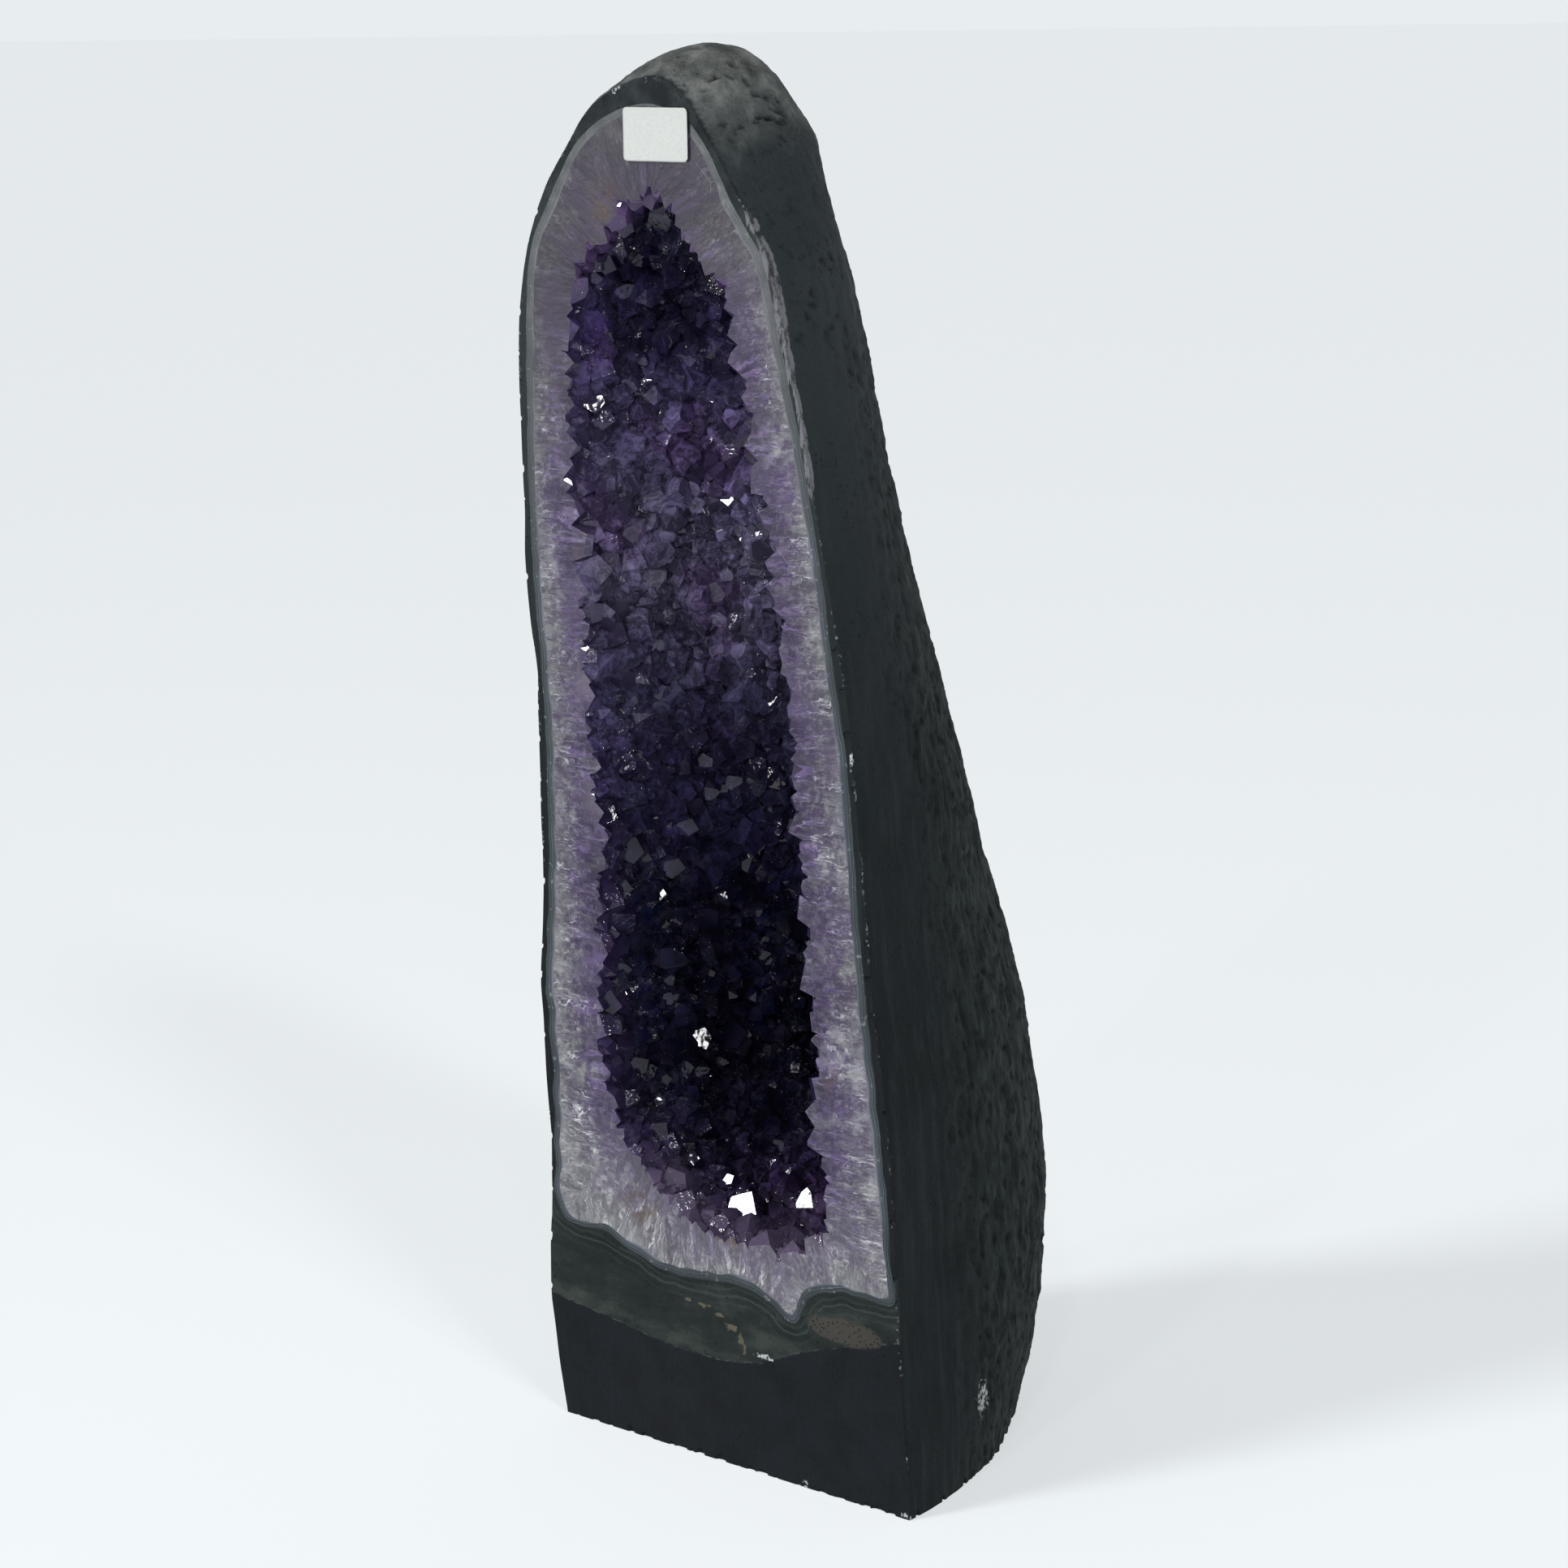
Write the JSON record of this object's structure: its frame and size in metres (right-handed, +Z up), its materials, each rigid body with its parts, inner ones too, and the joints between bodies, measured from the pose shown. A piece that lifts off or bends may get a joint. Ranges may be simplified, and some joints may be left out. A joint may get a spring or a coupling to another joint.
{
  "type": "amethyst geode",
  "caption": "Tall half geode sawn flat in front and below: dark basalt shell, thin agate band, pale quartz rim and an open pocket lined with violet crystals.",
  "frame": {"origin": "middle of the bounding box, at the sawn base", "axes": "+Z up along the geode's height, -Y out of the sawn front, +X to the right seen from the front"},
  "size_m": [0.1906, 0.1694, 0.5608],
  "materials": {
    "basalt": "rough painted rock",
    "agate": "sawn, semi-gloss",
    "quartz": "sawn, semi-gloss",
    "amethyst": "glossy crystal faces",
    "paper": "matt"
  },
  "bodies": {
    "root": {"agate_band": "agate", "amethyst_crystal_01": "amethyst", "amethyst_crystal_02": "amethyst", "amethyst_crystal_03": "amethyst", "amethyst_crystal_04": "amethyst", "amethyst_crystal_05": "amethyst", "amethyst_crystal_06": "amethyst", "amethyst_crystal_07": "amethyst", "amethyst_crystal_08": "amethyst", "amethyst_crystal_09": "amethyst", "amethyst_crystal_10": "amethyst", "amethyst_crystal_11": "amethyst", "amethyst_crystal_12": "amethyst", "amethyst_crystal_13": "amethyst", "amethyst_crystal_14": "amethyst", "amethyst_crystal_15": "amethyst", "amethyst_crystal_16": "amethyst", "amethyst_crystal_17": "amethyst", "amethyst_crystal_18": "amethyst", "amethyst_crystal_19": "amethyst", "amethyst_crystal_20": "amethyst", "amethyst_crystal_21": "amethyst", "amethyst_crystal_22": "amethyst", "amethyst_crystal_23": "amethyst", "amethyst_crystal_24": "amethyst", "amethyst_crystal_25": "amethyst", "amethyst_crystal_26": "amethyst", "amethyst_crystal_27": "amethyst", "amethyst_crystal_28": "amethyst", "amethyst_crystal_29": "amethyst", "amethyst_crystal_30": "amethyst", "amethyst_crystal_31": "amethyst", "amethyst_crystal_32": "amethyst", "amethyst_crystal_33": "amethyst", "amethyst_crystal_34": "amethyst", "amethyst_crystal_35": "amethyst", "amethyst_crystal_36": "amethyst", "amethyst_crystal_37": "amethyst", "amethyst_crystal_38": "amethyst", "amethyst_crystal_39": "amethyst", "amethyst_crystal_40": "amethyst", "amethyst_crystal_41": "amethyst", "amethyst_crystal_42": "amethyst", "amethyst_crystal_43": "amethyst", "amethyst_crystal_44": "amethyst", "amethyst_crystal_45": "amethyst", "amethyst_crystal_46": "amethyst", "amethyst_crystal_47": "amethyst", "amethyst_crystal_48": "amethyst", "amethyst_crystal_49": "amethyst", "amethyst_crystal_50": "amethyst", "amethyst_crystal_51": "amethyst", "amethyst_crystal_52": "amethyst", "amethyst_crystal_53": "amethyst", "basalt_shell": "basalt", "paper_label": "paper", "quartz_lining": "quartz"}
  },
  "joints": []
}
